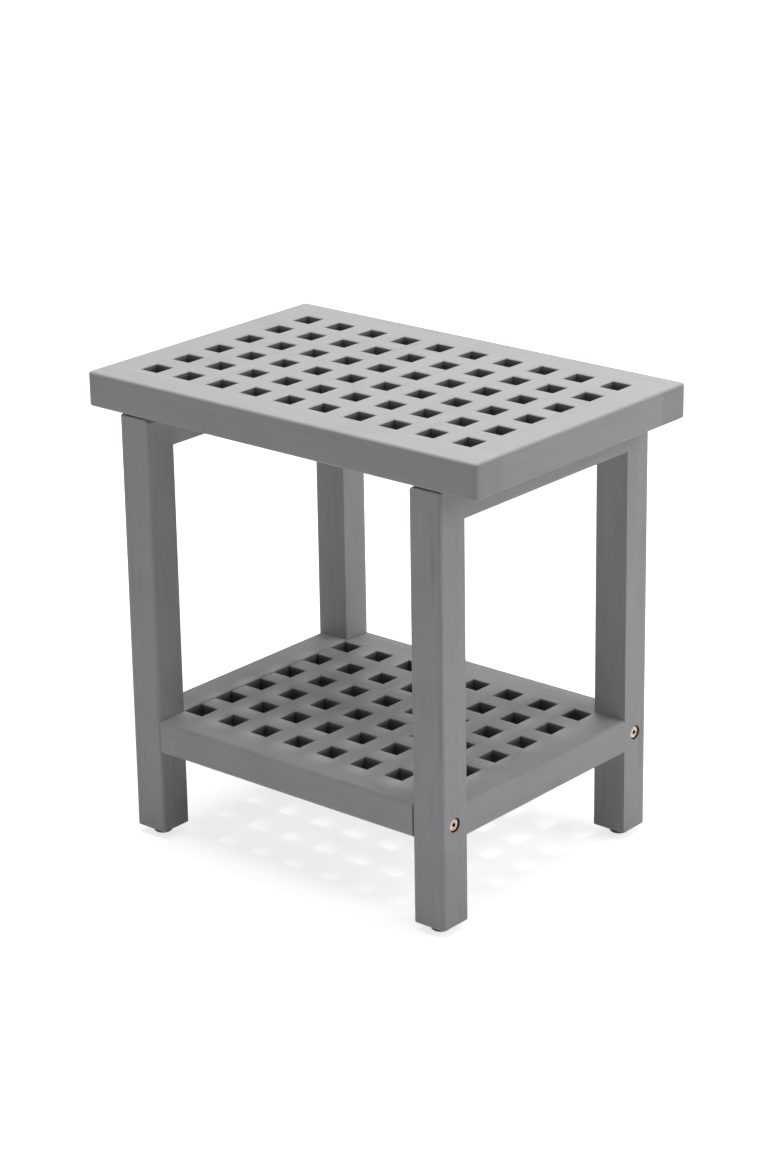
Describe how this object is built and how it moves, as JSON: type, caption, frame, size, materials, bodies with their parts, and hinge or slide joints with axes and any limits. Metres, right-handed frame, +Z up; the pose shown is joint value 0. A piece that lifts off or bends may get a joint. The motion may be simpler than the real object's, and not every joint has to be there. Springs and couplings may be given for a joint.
{
  "type": "shower stool with shelf",
  "caption": "Painted wooden shower stool with a lattice seat on two side frames and a lattice shelf bolted between their legs.",
  "frame": {"origin": "on the floor, under the middle of the seat", "axes": "+X along the stool's long side to the right, +Y to the back, +Z up"},
  "size_m": [0.458, 0.303, 0.452],
  "materials": {
    "painted_wood": "matt light grey paint over hardwood",
    "bolt_brass": "brass-plated, slightly aged",
    "nut_steel": "zinc-plated",
    "screw_steel": "zinc-plated",
    "pin_steel": "bright",
    "foot_plastic": "matt black"
  },
  "bodies": {
    "root": {"back_left_foot": "foot_plastic", "back_left_leg": "painted_wood", "back_right_foot": "foot_plastic", "back_right_leg": "painted_wood", "barrel_nuts": "nut_steel", "connector_bolts": "bolt_brass", "foot_pins": "pin_steel", "front_left_foot": "foot_plastic", "front_left_leg": "painted_wood", "front_right_foot": "foot_plastic", "front_right_leg": "painted_wood", "left_apron": "painted_wood", "right_apron": "painted_wood", "seat_back_rail": "painted_wood", "seat_cross_slat_1": "painted_wood", "seat_cross_slat_2": "painted_wood", "seat_cross_slat_3": "painted_wood", "seat_cross_slat_4": "painted_wood", "seat_cross_slat_5": "painted_wood", "seat_cross_slat_6": "painted_wood", "seat_cross_slat_7": "painted_wood", "seat_cross_slat_8": "painted_wood", "seat_cross_slat_9": "painted_wood", "seat_front_rail": "painted_wood", "seat_left_board": "painted_wood", "seat_long_slat_1": "painted_wood", "seat_long_slat_2": "painted_wood", "seat_long_slat_3": "painted_wood", "seat_long_slat_4": "painted_wood", "seat_long_slat_5": "painted_wood", "seat_right_board": "painted_wood", "seat_screws": "screw_steel", "shelf_back_rail": "painted_wood", "shelf_cross_slat_1": "painted_wood", "shelf_cross_slat_2": "painted_wood", "shelf_cross_slat_3": "painted_wood", "shelf_cross_slat_4": "painted_wood", "shelf_cross_slat_5": "painted_wood", "shelf_cross_slat_6": "painted_wood", "shelf_cross_slat_7": "painted_wood", "shelf_front_rail": "painted_wood", "shelf_left_side_rail": "painted_wood", "shelf_long_slat_1": "painted_wood", "shelf_long_slat_2": "painted_wood", "shelf_long_slat_3": "painted_wood", "shelf_long_slat_4": "painted_wood", "shelf_long_slat_5": "painted_wood", "shelf_right_side_rail": "painted_wood"}
  },
  "joints": []
}
